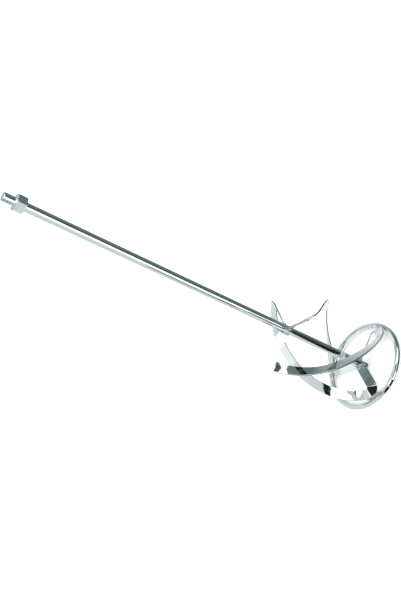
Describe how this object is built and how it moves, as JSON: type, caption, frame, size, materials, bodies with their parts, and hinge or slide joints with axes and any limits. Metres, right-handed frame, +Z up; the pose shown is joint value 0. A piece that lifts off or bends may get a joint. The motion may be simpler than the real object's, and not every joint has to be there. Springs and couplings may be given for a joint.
{
  "type": "mortar mixing paddle",
  "caption": "Mixing paddle: threaded drive stud and hex nut on a long round shaft, with three spiral flat-bar blades joined to a round-bar ring at the bottom.",
  "frame": {"origin": "floor level under the centre of the bottom ring, on the shaft's axis, with the paddle standing on its ring", "axes": "+Z up along the shaft towards the threaded stud; +X and +Y level, with the first blade's bottom arm close to +X"},
  "size_m": [0.16, 0.16, 0.707],
  "materials": {
    "plated_steel": "bright zinc plating",
    "weld_metal": "plated weld bead"
  },
  "bodies": {
    "root": {"shaft": "plated_steel", "threaded_stud": "plated_steel", "hex_nut": "plated_steel", "nut_weld": "weld_metal", "blade_1": "plated_steel", "blade_2": "plated_steel", "blade_3": "plated_steel", "ring": "plated_steel", "top_weld_1": "weld_metal", "top_weld_2": "weld_metal", "top_weld_3": "weld_metal", "bottom_weld_1": "weld_metal", "bottom_weld_2": "weld_metal", "bottom_weld_3": "weld_metal", "ring_weld_1": "weld_metal", "ring_weld_2": "weld_metal", "ring_weld_3": "weld_metal"}
  },
  "joints": []
}
